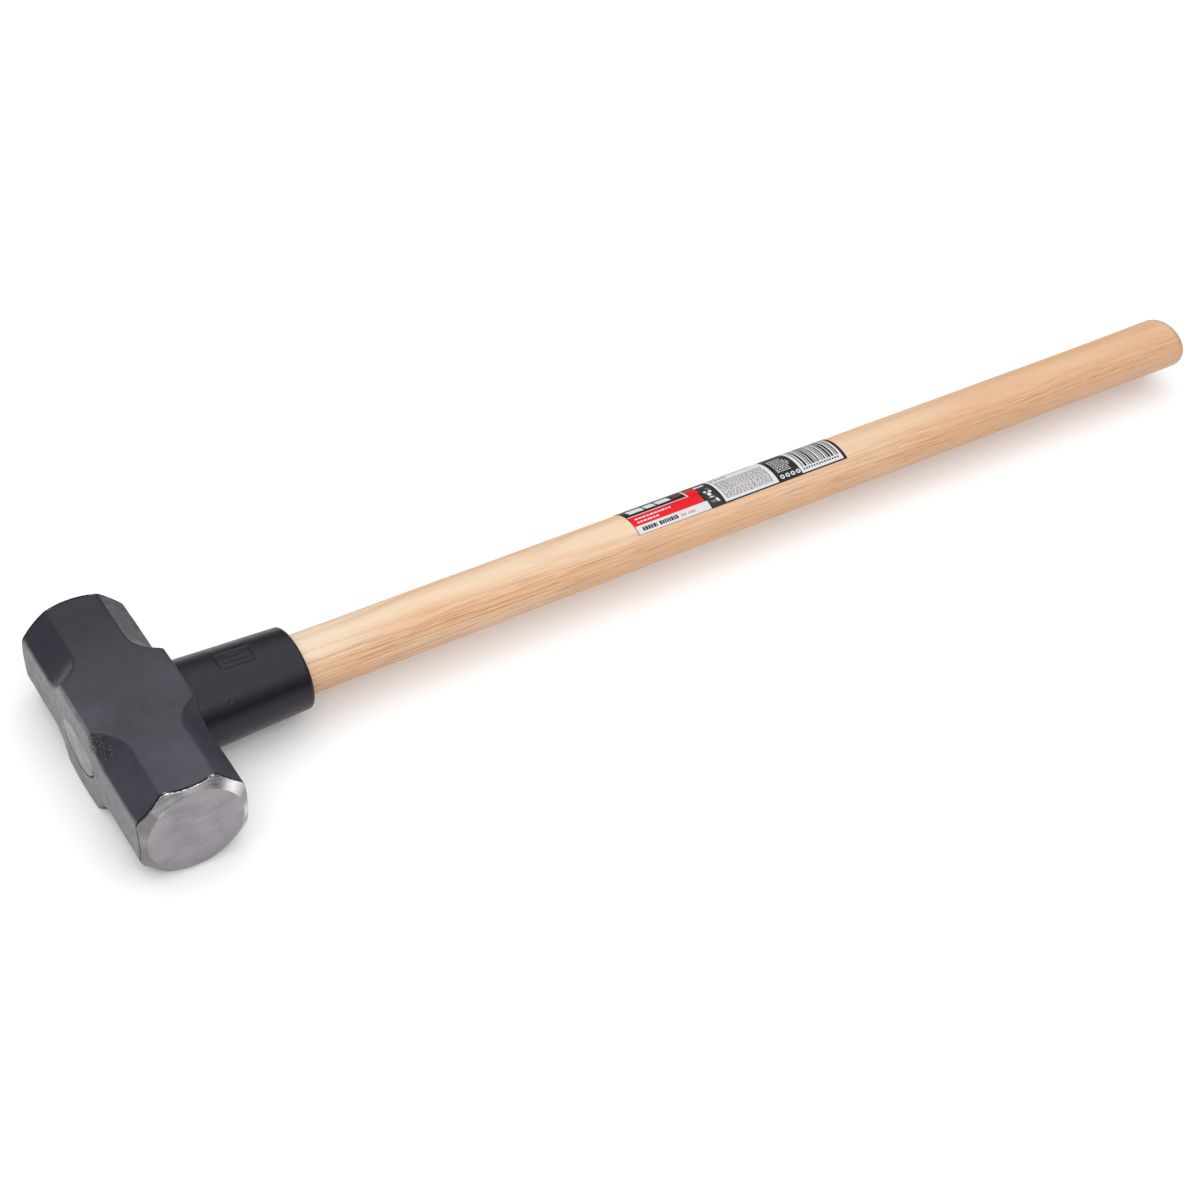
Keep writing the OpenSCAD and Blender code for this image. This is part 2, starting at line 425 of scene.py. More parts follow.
def wood_material():
    """Pale ash with a satin lacquer.

    Level growth rings give a quiet figure on top and dense fine streaks on the sides."""
    n = Nodes("ash_wood")
    place = n.position()
    x, y, z = n.split(place)
    side = n.band(n.math("ABSOLUTE", n.math("DIVIDE", y, GRIP_R)), 0.1, 0.75)
    sway = n.noise(n.scaled(place, (5, 14, 14)), 1, 2)
    drift = n.noise(n.scaled(place, (1.6, 6, 6), (3, 1, 7)), 1, 2)
    depth = n.plus(z, n.mul(n.mul(y, y), 9.0))
    depth = n.plus(depth, n.mul(sway, 4 * MM))
    depth = n.plus(depth, n.mul(drift, 9 * MM))
    depth = n.plus(depth, n.mul(x, 0.006))
    ring = n.math("FRACT", n.math("DIVIDE", depth, 1.7 * MM))
    early = n.mul(n.band(ring, 0.0, 0.12), n.band(ring, 0.5, 0.2))
    vessels = n.noise(n.scaled(place, (24, 1500, 1500)), 1, 2, 0.6)
    fibre = n.noise(n.scaled(place, (9, 850, 850), (1, 4, 2)), 1, 4, 0.65)
    fine = n.noise(n.scaled(place, (70, 2900, 2900)), 1, 2, 0.6)
    cloud = n.noise(n.scaled(place, (5, 50, 50), (5, 0, 2)), 1, 3)
    grey = n.noise(n.scaled(place, (3, 30, 30), (9, 3, 1)), 1, 2)

    light, mid = (0.79, 0.595, 0.42), (0.735, 0.435, 0.235)
    streak, pale = (0.43, 0.19, 0.105), (0.83, 0.63, 0.425)
    colour = n.mix(n.band(n.plus(cloud, n.mul(side, 0.2)), 0.4, 0.75), light, mid)
    # the lower half is painted darker and browner, painted shade, most near the neck and towards
    # the butt
    low = n.band(z, AXIS_Z + 4 * MM, AXIS_Z - 9 * MM)
    neck, rear = n.band(x, 0.19, 0.11), n.band(x, 0.4, 0.8)
    low_shade_amount = n.plus(n.mul(n.math("MAXIMUM", neck, rear), 0.68), 0.22)
    colour = n.mix(n.mul(low, low_shade_amount), colour, (0.50, 0.27, 0.15))
    colour = n.mix(n.mul(rear, 0.72), colour, (0.66, 0.365, 0.195))
    # the top near the sleeve is painted paler: a painted highlight
    neck_top_highlight = n.mul(n.band(z, AXIS_Z + 9 * MM, AXIS_Z + 15 * MM), n.mul(neck, 0.75))
    colour = n.mix(neck_top_highlight, colour, (0.82, 0.71, 0.56))
    quiet = n.math("SUBTRACT", 1.0, n.mul(n.band(x, 0.2, 0.4), 0.5))
    colour = n.mix(n.mul(n.band(fibre, 0.5, 0.72), 0.42), colour, pale)
    dark_fibre = n.mul(n.band(fibre, 0.48, 0.3), n.band(side, 0, 1, 0.2, 0.55))
    colour = n.mix(dark_fibre, colour, (0.66, 0.38, 0.22))
    rows = n.mul(early, n.band(side, 0, 1, 0.18, 0.75))
    rows = n.mul(rows, quiet)
    colour = n.mix(n.mul(rows, n.band(fibre, 0.35, 0.65, 0.2, 0.9)), colour, streak)
    pores = n.mul(n.band(vessels, 0.54, 0.61), n.band(side, 0, 1, 0.12, 0.95))
    pores = n.mul(pores, quiet)
    colour = n.mix(n.mul(pores, n.band(grey, 0.35, 0.65, 0.4, 1)), colour, streak)
    colour = n.mix(n.band(fine, 0.45, 0.75, 0, 0.22), colour, (0.86, 0.69, 0.5))
    flecks = n.band(n.noise(n.scaled(place, (160, 420, 420), (2, 9, 4)), 1, 1), 0.79, 0.82)
    colour = n.mix(n.mul(flecks, 0.6), colour, (0.2, 0.1, 0.05))
    # sanded end grain is darker, and the lacquer stops in a pale line at the sleeve
    end_grain = n.band(x, HANDLE_HI.x - 9 * MM, HANDLE_HI.x - 1.5 * MM, 0, 0.75)
    colour = n.mix(end_grain, colour, (0.3, 0.19, 0.13))
    bare_line = n.band(x, SLEEVE_HI.x + 1.4 * MM, SLEEVE_HI.x + 0.8 * MM, 0, 0.8)
    colour = n.mix(bare_line, colour, (0.9, 0.83, 0.77))
    n.set(
        Base_Color=colour,
        Roughness=n.band(fibre, 0.3, 0.7, 0.4, 0.52),
        Specular_IOR_Level=0.32,
        Coat_Weight=0.08,
        Coat_Roughness=0.32,
    )
    height = n.math("SUBTRACT", n.mul(fine, 0.3), n.mul(pores, 0.7))
    n.set(Normal=n.bump(height, 0.35, 0.08 * MM))
    return n.material


def rubber_material():
    """Black moulded rubber with a fine matt skin."""
    n = Nodes("moulded_rubber")
    place = n.position()
    skin = n.noise(place, 1400, 3, 0.6)
    tone = n.noise(n.scaled(place, (12, 40, 40)), 1, 3)
    scuff = n.band(n.noise(n.scaled(place, (900, 120, 120)), 1, 4, 0.7), 0.66, 0.8)
    base = n.mix(tone, (0.0052, 0.0036, 0.0072), (0.0086, 0.0062, 0.0112))
    n.set(
        Base_Color=n.mix(n.mul(scuff, 0.3), base, (0.06, 0.06, 0.063)),
        Roughness=n.band(n.noise(place, 220, 3), 0.3, 0.7, 0.3, 0.4),
        Specular_IOR_Level=0.38,
        Specular_Tint=(0.94, 0.87, 1.0, 1),
        Normal=n.bump(skin, 0.22, 0.05 * MM),
    )
    return n.material


def film_material(name, colour):
    """Printed film of one ink colour, with a faint mottle and the gloss of its clear coat."""
    n = Nodes(name)
    place = n.position()
    mottle = n.noise(place, 700, 3, 0.6)
    dim = tuple(c * 0.82 for c in colour)
    n.set(
        Base_Color=n.mix(mottle, dim, colour),
        Roughness=n.band(n.noise(place, 90, 3), 0.3, 0.7, 0.37, 0.5),
        Specular_IOR_Level=0.22,
    )
    return n.material


def floor_material():
    n = Nodes("studio_floor")
    place = n.position()
    n.set(
        Base_Color=n.mix(n.noise(place, 3, 2), (0.86, 0.86, 0.865), (0.88, 0.88, 0.885)),
        Roughness=n.band(n.noise(place, 40, 2), 0.3, 0.7, 0.75, 0.85),
        Emission_Color=(1, 1, 1, 1),
        Emission_Strength=FLOOR_GLOW,
    )
    return n.material


HEAD = head_material()
PAINTED_END = painted_end_material()
WOOD = wood_material()
RUBBER = rubber_material()


# ----------------------------------------------------------------------- head
def side_radius(turn, y):
    """Distance from the head axis to its side at y, in direction turn.

    The side is made of flats, corner facets and scoops."""
    reach = np.abs(y)
    swell_r = (SWELL_Y**2 + (EYE_SIDE - HALF_W) ** 2) / (2 * (EYE_SIDE - HALF_W))
    crown = EYE_SIDE - swell_r + np.sqrt(np.clip(swell_r**2 - y**2, 0, None))
    eye_side = soft_min(-np.maximum(crown, HALF_W), np.full_like(y, -HALF_W), 0.4 * MM)
    far = 10 * HALF_W
    flats = np.full_like(turn, far)
    for quarter, distance in ((0, HALF_W), (1, HALF_W), (2, -eye_side), (3, HALF_W)):
        facing = np.cos(turn - quarter * math.pi / 2)
        flat = np.where(facing > 0.05, distance / np.maximum(facing, 0.05), far)
        flats = soft_min(flats, flat, 3.4 * MM)
    dip = np.clip(SCOOP_R**2 - np.clip(SCOOP_Y - reach, 0, None) ** 2, 0, None)
    depth = np.where(reach > SCOOP_Y - SCOOP_R, FACET_R + SCOOP_R - np.sqrt(dip), far)
    facets = np.full_like(turn, far)
    for quarter in range(4):
        facing = np.cos(turn - (quarter + 0.5) * math.pi / 2)
        facet = np.where(facing > 0.05, depth / np.maximum(facing, 0.05), far)
        facets = np.minimum(facets, facet)
    scooped = 1 - ease(reach, SCOOP_Y - 4 * MM, SCOOP_Y + 6 * MM)
    worn = ease(reach, HALF_L - 24 * MM, HALF_L - 6 * MM)
    return soft_min(flats, facets, (0.85 + 0.6 * scooped + 1.3 * worn) * MM)


def head_turns():
    """Directions round the head, closest together at the edges between flats and facets."""
    edge = math.atan2(FACET_R * math.sqrt(2) - HALF_W, HALF_W)
    stops = [(-edge, edge, 44), (edge, math.pi / 2 - edge, 52)]
    turns = []
    for quarter in range(4):
        for start, end, count in stops:
            t = np.arange(count) / count
            t = 0.45 * t + 0.55 * (1 - np.cos(math.pi * t)) / 2
            turns.append(start + (end - start) * t + quarter * math.pi / 2)
    return np.concatenate(turns)


def head_rows():
    """Rows (y, limit) along one half of the head, from the eye centre to the face's middle.

    limit is the largest radius there."""
    slope = math.tan(FACE_SLOPE)
    tangent = FACE_EDGE_R * math.tan(FACE_SLOPE / 2)
    bend_y = HALF_L - tangent * math.sin(FACE_SLOPE)
    bend_r = FACE_R + tangent * math.cos(FACE_SLOPE)
    stretches = ((0, 18, 14), (18, 45, 38), (45, 80, 24), (80, bend_y / MM, 26))
    rows = []
    for start, end, count in stretches:
        for i in range(count):
            y = (start + (end - start) * i / count) * MM
            rows.append((y, bend_r + (bend_y - y) / slope))
    for i in range(6):
        a = FACE_SLOPE * (1 - i / 5)
        rows.append(
            (
                HALF_L - FACE_EDGE_R * (1 - math.cos(a)),
                FACE_R - tangent + FACE_EDGE_R * math.sin(a),
            )
        )
    rows += [(HALF_L, (FACE_R - tangent) * (1 - i / 12)) for i in range(1, 12)]
    return rows


def build_head():
    turns = head_turns()
    half = head_rows()
    rows = [(-y, limit) for y, limit in reversed(half[1:])] + half
    rings = []
    for y, limit in rows:
        sides = side_radius(turns, np.full_like(turns, y))
        r = soft_min(sides, np.full_like(turns, limit), 0.3 * MM)
        ring = (r * np.cos(turns), np.full_like(turns, y), AXIS_Z + r * np.sin(turns))
        rings.append(np.stack(ring, 1))
    verts, faces = ring_solid(rings)
    head = new_object("head_forging", verts, [f[::-1] for f in faces], HEAD)

    eye = [
        (-EYE_SIDE - 1.0 * MM, 0.9),
        (-EYE_SIDE + 0.2 * MM, 0.42),
        (-EYE_SIDE + 0.5 * MM, 0.2),
        (-EYE_SIDE + 0.9 * MM, 0.08),
        (-EYE_SIDE + 1.6 * MM, 0.0),
        (0.0, -EYE_WAIST / MM),
        (HALF_W + 1.0 * MM, 0.0),
    ]
    rings = [
        oval_ring(x, EYE_R + grow * MM, EYE_R * EYE_FLAT + grow * MM, 160)
        for x, grow in eye
    ]
    verts, faces = ring_solid(rings)
    cutter = new_object("eye_cutter", verts, [f[::-1] for f in faces], HEAD)
    carve(head, cutter)

    mesh = head.data
    co = coords(mesh)
    turn = np.arctan2(co[:, 2] - AXIS_Z, co[:, 0])
    reach = np.hypot(co[:, 0], co[:, 2] - AXIS_Z)
    sides = side_radius(turn, co[:, 1])
    cone = FACE_R + (HALF_L - np.abs(co[:, 1])) / math.tan(FACE_SLOPE)
    point_attribute(mesh, "ground", np.clip((sides - cone) / MM - 0.05, -3, 3))
    away = np.abs(co[:, 1])
    in_scoop = ease(away, 19 * MM, 24 * MM) * (1 - ease(away, 33 * MM, 42 * MM))
    on_facet = ease(np.abs(np.sin(2 * turn)), 0.45, 0.75)
    by_eye = np.exp(-(((np.abs(turn) - math.radians(141)) / math.radians(9)) ** 2))
    rough = in_scoop * on_facet * (0.25 + 0.75 * by_eye * (co[:, 1] < 0) * (turn > 0))
    point_attribute(mesh, "forged", rough)

    # forging never leaves a surface quite level: sink it by up to a third of a millimetre
    outside = (reach > sides - 1.5 * MM) & (away < HALF_L - 7 * MM)
    sink = 0.16 * (1 + waves(co, 24 * MM, 1)) + 0.05 * (1 + waves(co, 7 * MM, 2))
    sink = sink * (1 - ease(away, HALF_L - 16 * MM, HALF_L - 8 * MM))
    sink = sink + rough * 0.5 * np.clip(waves(co, 1.7 * MM, 6), -0.4, 1) - rough * 0.1
    # a thin fin that the dies left at the near end of the eye
    along = co[:, 1] - FIN_Y
    across = co[:, 2] - AXIS_Z + 1 * MM - 0.3 * along
    fin = np.exp(-((along / (3.2 * MM)) ** 2) - (across / (0.8 * MM)) ** 2) * (co[:, 0] < 0)
    sink = (sink - 0.55 * fin) * outside * MM
    inward = np.stack([-np.cos(turn), np.zeros_like(turn), -np.sin(turn)], 1)
    co = co + inward * sink[:, None]
    mesh.vertices.foreach_set("co", co.ravel())
    finish_mesh(mesh, 35)
    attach(head, "root")
    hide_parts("head")


# --------------------------------------------------------------------- handle
def wood_half(x):
    """Half the width of the bare wood at x."""
    butt_start = HANDLE_HI.x - BLEND_L
    return GRIP_R + BUTT_SWELL * ease(x, butt_start, HANDLE_HI.x - BUTT_EDGE_R)


def wedge_block(name, length, near_t, far_t, half_y, y, along_y, material, slot):
    """Tapered wedge with softened edges, driven in from the eye end.

    along_y says whether it lies along the eye."""
    soft = 0.35 * MM
    sections = [(0, -soft), (soft, 0), (length * 0.5, 0), (length - soft, 0), (length, -soft)]
    rings = []
    for d, grow in sections:
        t = (near_t + (far_t - near_t) * d / length) / 2 + grow
        w = half_y + grow
        corners = []
        for i in range(32):
            a = 2 * math.pi * i / 32
            c = math.copysign(abs(math.cos(a)) ** 0.35, math.cos(a)) * w
            s = math.copysign(abs(math.sin(a)) ** 0.35, math.sin(a)) * t
            across, up = (c, s) if along_y else (s, c)
            corners.append((HANDLE_LO.x + d, y + across, AXIS_Z + up))
        rings.append(np.array(corners))
    verts, faces = ring_solid(rings)
    if along_y:
        faces = [f[::-1] for f in faces]
    return new_object(name, verts, faces, material)


def dress_end(mesh):
    """Sinks the ends of the tenon and wedges into the eye.

    They are deepest along the lower side and at both ends of the oval."""
    co = coords(mesh)
    depth = co[:, 0] - HANDLE_LO.x
    high = (co[:, 2] - AXIS_Z) / (EYE_R * EYE_FLAT)
    wide = co[:, 1] / EYE_R
    sink = 0.12 + 0.36 * (1 - high) + 0.45 * wide**2
    sink = sink + 0.1 * waves(co, 5 * MM, 4) + 0.05 * waves(co, 1.6 * MM, 8)
    co[:, 0] += sink * MM * (1 - ease(depth, 0.5 * MM, 4 * MM))
    mesh.vertices.foreach_set("co", co.ravel())


def add_splinter(handle):
    """Adds the sliver of painted wood that stands in the gap under the tenon, near the -Y end."""
    rings = []
    for i in range(9):
        t = i / 8
        y = (-6.5 - 6 * t) * MM
        z = -(EYE_R * EYE_FLAT - 0.55 * MM) * math.sqrt(1 - (y / (EYE_R - 0.5 * MM)) ** 2)
        thick = (0.06 + 0.2 * math.sin(math.pi * t)) * MM
        a = np.linspace(0, 2 * math.pi, 8, endpoint=False)
        x = HANDLE_LO.x + 1.0 * MM
        ring = (x + 0.8 * MM * np.sin(a), np.full(8, y), AXIS_Z + z + thick * np.cos(a))
        rings.append(np.stack(ring, 1))
    verts, faces = ring_solid(rings)
    splinter = new_object("splinter", verts, faces, PAINTED_END)
    both = [handle, splinter]
    with bpy.context.temp_override(active_object=handle, selected_editable_objects=both):
        bpy.ops.object.join()


def build_handle():
    columns = 112
    end = HANDLE_LO.x
    gap = (0.4 * MM, 0.45 * MM)  # shift of the tenon's end in the eye, towards +Y and +Z
    tenon = [(0.0, -0.95), (0.1, -0.72), (0.3, -0.6), (0.7, -0.55), (6.0, -0.55)]
    rings = [
        oval_ring(end + d * MM, EYE_R + grow * MM, EYE_R * EYE_FLAT + grow * MM, columns, *gap)
        for d, grow in tenon
    ]
    flat_end = [
        oval_ring(end, (EYE_R - 0.95 * MM) * s, (EYE_R * EYE_FLAT - 0.95 * MM) * s, columns, *gap)
        for s in (0.05, 0.12, 0.2, 0.3, 0.4, 0.5, 0.6, 0.7, 0.8, 0.9)
    ]
    rings = flat_end + rings
    rings.append(oval_ring(-20 * MM, EYE_R - 0.6 * MM, EYE_R * EYE_FLAT - 0.6 * MM, columns))
    rings.append(oval_ring(20 * MM, EYE_R - 0.9 * MM, EYE_R * EYE_FLAT - 0.9 * MM, columns))
    rings.append(oval_ring(HALF_W, EYE_R - 0.5 * MM, EYE_R * EYE_FLAT - 0.5 * MM, columns))
    edge = HANDLE_HI.x - BUTT_EDGE_R
    for x in np.arange(HALF_W + 0.2 * MM, edge, 4 * MM):
        half = float(wood_half(x))
        rings.append(oval_ring(x, half, half * GRIP_FLAT, columns))
    half = float(wood_half(edge))
    for i in range(15):
        a = math.pi / 2 * i / 14
        inset = BUTT_EDGE_R * (1 - math.cos(a))
        x = edge + BUTT_EDGE_R * math.sin(a)
        rings.append(oval_ring(x, half - inset, half * GRIP_FLAT - inset, columns))
    end_y, end_z = half - BUTT_EDGE_R, half * GRIP_FLAT - BUTT_EDGE_R
    for s in (0.8, 0.55, 0.3, 0.1):
        rings.append(oval_ring(HANDLE_HI.x, end_y * s, end_z * s, columns))
    verts, faces = ring_solid(rings)

    # hand sanding leaves the wood a little uneven
    outer = verts[:, 0] > SLEEVE_HI.x + 6 * MM
    uneven = (waves(verts / [4, 1, 1], 14 * MM, 3) + 1) * 0.11 * MM * outer
    middle = np.array([0, 0, AXIS_Z])
    out = (verts - middle) * [0, 1, 1]
    out /= np.maximum(np.linalg.norm(out, axis=1), 1e-6)[:, None]
    fade = 1 - ease(verts[:, 0], edge - 2 * MM, HANDLE_HI.x)
    verts = verts - out * (uneven * fade)[:, None]
    handle = new_object("handle_ash", verts, [f[::-1] for f in faces], WOOD)
    loose = 0.1 * MM
    steel = (STEEL_L, STEEL_T + loose, STEEL_TIP_T + loose, (STEEL_W + loose) / 2)
    for args in (
        ("slot_1", WEDGE_L, WEDGE_T + loose, WEDGE_TIP_T + loose, 2 * EYE_R, 0.45 * MM, True),
        ("slot_2", *steel, -STEEL_Y, False),
        ("slot_3", *steel, STEEL_Y, False),
    ):
        cutter = wedge_block(*args, WOOD, "handle")
        cutter.data.transform(Matrix.Translation((-0.5 * MM, 0, 0)))
        carve(handle, cutter)
    handle.data.materials.append(PAINTED_END)
    add_splinter(handle)
    in_eye = coords(handle.data)[:, 0] < end + 3 * MM
    for face in handle.data.polygons:
        if any(in_eye[i] for i in face.vertices):
            face.material_index = 1
    dress_end(handle.data)
    finish_mesh(handle.data, 35)
    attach(handle, "root")
    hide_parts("handle")


# --------------------------------------------------------------------- wedges
def build_wedges():
    """The three wedges, painted over with the head.

    The steel wedges cross the wooden one, which is cut through where they pass."""
    reach = EYE_R - 0.75 * MM
    size = (WEDGE_L, WEDGE_T, WEDGE_TIP_T, reach)
    wood = wedge_block("wedge_wood", *size, 0.4 * MM, True, PAINTED_END, "wood_wedge")
    steel = []
    for name, y in (("wedge_steel_near", -STEEL_Y), ("wedge_steel_far", STEEL_Y)):
        for grow in (0.05 * MM, 0):
            size = (STEEL_L + grow, STEEL_T + 2 * grow, STEEL_TIP_T + 2 * grow, STEEL_W / 2 + grow)
            obj = wedge_block(name, *size, y, False, PAINTED_END, "steel_wedge")
            if grow:
                obj.data.transform(Matrix.Translation((-0.5 * MM, 0, 0)))
                carve(wood, obj)
        steel.append(obj)
    nodes = ("wood_wedge", "steel_wedge_1", "steel_wedge_2")
    for obj, node in zip((wood, *steel), nodes):
        obj.data.transform(Matrix.Translation((0.02 * MM, 0, 0)))
        dress_end(obj.data)
        finish_mesh(obj.data, 35)
        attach(obj, "root")
        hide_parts(node)


# --------------------------------------------------------------------- sleeve
def sleeve_profile():
    """Outer skin of the sleeve as (x, half width, tuck), from the head to its handle end.

    tuck is taken off both half axes."""
    start, end = HALF_W, SLEEVE_HI.x
    taper = (SLEEVE_END_R - SLEEVE_R) / (end - start)
    points = []
    for i in range(7):
        a = math.pi / 2 * i / 6
        x = start + SLEEVE_EDGE_R * (1 - math.cos(a))
        points.append((x, SLEEVE_R + taper * (x - start), SLEEVE_EDGE_R * (1 - math.sin(a))))
    for x in np.arange(start + SLEEVE_EDGE_R + 0.6 * MM, end - SLEEVE_EDGE_R, 0.6 * MM):
        points.append((x, SLEEVE_R + taper * (x - start), 0.0))
    for i in range(7):
        a = math.pi / 2 * i / 6
        x = end - SLEEVE_EDGE_R * (1 - math.sin(a))
        points.append((x, SLEEVE_R + taper * (x - start), SLEEVE_EDGE_R * (1 - math.cos(a))))
    return points


def groove(distance, width, depth):
    """Depth of a soft-edged groove at a distance from its middle line."""
    return depth * (1 - ease(distance, width * 0.3, width * 0.7))


def box_distance(u, v, half_u, half_v, corner):
    """Distance from (u, v) to the outline of a rounded rectangle."""
    du = np.abs(u) - half_u + corner
    dv = np.abs(v) - half_v + corner
    outside = np.hypot(np.clip(du, 0, None), np.clip(dv, 0, None))
    return np.abs(outside + np.minimum(np.maximum(du, dv), 0) - corner)


def build_sleeve():
    columns = 264
    angle = np.linspace(0, 2 * math.pi, columns, endpoint=False)
    outer = []
    for x, half, tuck in sleeve_profile():
        outer.append(oval_ring(x, half - tuck, half * SLEEVE_FLAT - tuck, columns))
    outer = np.array(outer)

    # a plain moulded plate mark on top: an outline with two bars in it
    x, u = outer[:, :, 0], outer[:, :, 0] - MARK_X
    v = (angle - MARK_TURN)[None, :] * SLEEVE_R * np.ones_like(x)
    mark = groove(box_distance(u, v, 11 * MM, 6.5 * MM, 1.5 * MM), 1.3 * MM, 0.5 * MM)
    for place, reach in ((2.2 * MM, 7.5 * MM), (-2.2 * MM, 4 * MM)):
        bar = np.hypot(np.clip(np.abs(u) - reach, 0, None), v - place)
        mark = np.maximum(mark, groove(bar, 1.4 * MM, 0.45 * MM))
    from_dimple = np.hypot(x - DIMPLE_X, (angle - DIMPLE_TURN)[None, :] * SLEEVE_R)
    dimple = groove(from_dimple, 1.6 * MM, 0.25 * MM)
    out = outer - np.array([0, 0, AXIS_Z])
    out[:, :, 0] = 0
    out /= np.linalg.norm(out, axis=2, keepdims=True)
    uneven = (waves(outer.reshape(-1, 3), 30 * MM, 5).reshape(x.shape) + 1) * 0.08 * MM
    outer -= out * (mark + dimple + uneven)[:, :, None]

    # the mouth is chamfered, and the bore stands a hair off the wood
    bore = GRIP_R
    inner = []
    mouth = SLEEVE_HI.x
    for x, grow in (
        (mouth - 0.15 * MM, 1.3),
        (mouth - 0.8 * MM, 0.5),
        (mouth - 4 * MM, 0.28),
        (HALF_W, 0.28),
    ):
        inner.append(oval_ring(x, bore + grow * MM, bore * GRIP_FLAT + grow * MM, columns))
    rings = list(outer) + inner
    verts = np.concatenate(rings)
    faces = []
    for k in range(len(rings)):
        for i in range(columns):
            j = (i + 1) % columns
            a, b = k * columns, ((k + 1) % len(rings)) * columns
            faces.append((a + i, a + j, b + j, b + i))
    sleeve = new_object("overstrike_sleeve", verts, faces, RUBBER, 50)
    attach(sleeve, "root")
    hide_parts("sleeve")


# ---------------------------------------------------------------------- label
INKS = {
    "white": (0.74, 0.74, 0.75),
    "black": (0.012, 0.012, 0.014),
    "red": (0.80, 0.001, 0.012),
    "grey": (0.2, 0.2, 0.21),
    "slate": (0.03, 0.03, 0.032),
    "pink": (0.72, 0.16, 0.3),
}


class Print:
    """Collects thin slabs of ink or film that follow the oval grip.

    x is in mm from the eye centre, and a is in degrees round the oval: 90 is the
    top and 180 faces the near side."""

    def __init__(self):
        self.verts, self.faces, self.inks = [], [], []

    def point(self, x, a, height):
        a = math.radians(a)
        return (
            x * MM,
            (GRIP_R + height) * math.cos(a),
            AXIS_Z + (GRIP_R * GRIP_FLAT + height) * math.sin(a),
        )

    def slab(self, outline, ink, top, bottom):
        """Slab from a grid of (x, a) rows."""
        rows, columns = len(outline), len(outline[0])
        start = len(self.verts)
        for height in (top, bottom):
            for row in outline:
                self.verts += [self.point(x, a, height) for x, a in row]
        size = rows * columns
        first = len(self.faces)
        for r in range(rows - 1):
            for c in range(columns - 1):
                i = start + r * columns + c
                j = i + columns
                self.faces.append((i, i + 1, j + 1, j))
                self.faces.append((i + size, j + size, j + 1 + size, i + 1 + size))
        rim = [start + c for c in range(columns)]
        rim += [start + r * columns + columns - 1 for r in range(1, rows)]
        rim += [start + (rows - 1) * columns + c for c in range(columns - 2, -1, -1)]
        rim += [start + r * columns for r in range(rows - 2, 0, -1)]
        for i, j in zip(rim, rim[1:] + rim[:1]):
            self.faces.append((j, i, i + size, j + size))
        self.inks += [ink] * (len(self.faces) - first)

    def block(self, x0, x1, a0, a1, ink, level=1, slant=0.0):
        """Rectangle from x0 to x1 and a0 to a1; slant moves its a0 edge along x."""
        nx = max(1, round((x1 - x0) / 8))
        na = max(1, round(abs(a1 - a0) / 4))
        grid = [
            [
                (x0 + (x1 - x0) * i / nx + slant * (1 - k / na), a0 + (a1 - a0) * k / na)
                for i in range(nx + 1)
            ]
            for k in range(na + 1)
        ]
        top = FILM_T + level * INK_T / 2
        self.slab(grid, ink, top, FILM_T - INK_T)

    def disc(self, x, a, radius, ink, level=1, sides=14):
        """Disc of a radius in mm, as a strip of narrow rows."""
        per_degree = GRIP_R / MM * math.pi / 180
        grid = []
        for k in range(sides + 1):
            t = math.pi * k / sides
            half = max(radius * math.sin(t), 0.01)
            height = a - radius * math.cos(t) / per_degree
            grid.append([(x - half, height), (x, height), (x + half, height)])
        self.slab(grid, ink, FILM_T + level * INK_T / 2, FILM_T - INK_T)

    def words(self, x0, x1, a0, a1, ink, rng, shortest, longest, gap, level=2):
        """A line of plain bars of random length, in place of words."""
        x = x0
        while x < x1:
            end = min(x + rng.uniform(shortest, longest), x1)
            if end - x > shortest / 2:
                self.block(x, end, a0, a1, ink, level)
            x = end + gap

    def piece(self, name, materials):
        mesh = bpy.data.meshes.new(name)
        mesh.from_pydata(self.verts, [], self.faces)
        for ink in materials:
            mesh.materials.append(materials[ink])
        order = list(materials)
        mesh.polygons.foreach_set("material_index", [order.index(i) for i in self.inks])
        finish_mesh(mesh, 30)
        obj = bpy.data.objects.new(name, mesh)
        bpy.context.scene.collection.objects.link(obj)
        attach(obj, "root")
        return obj


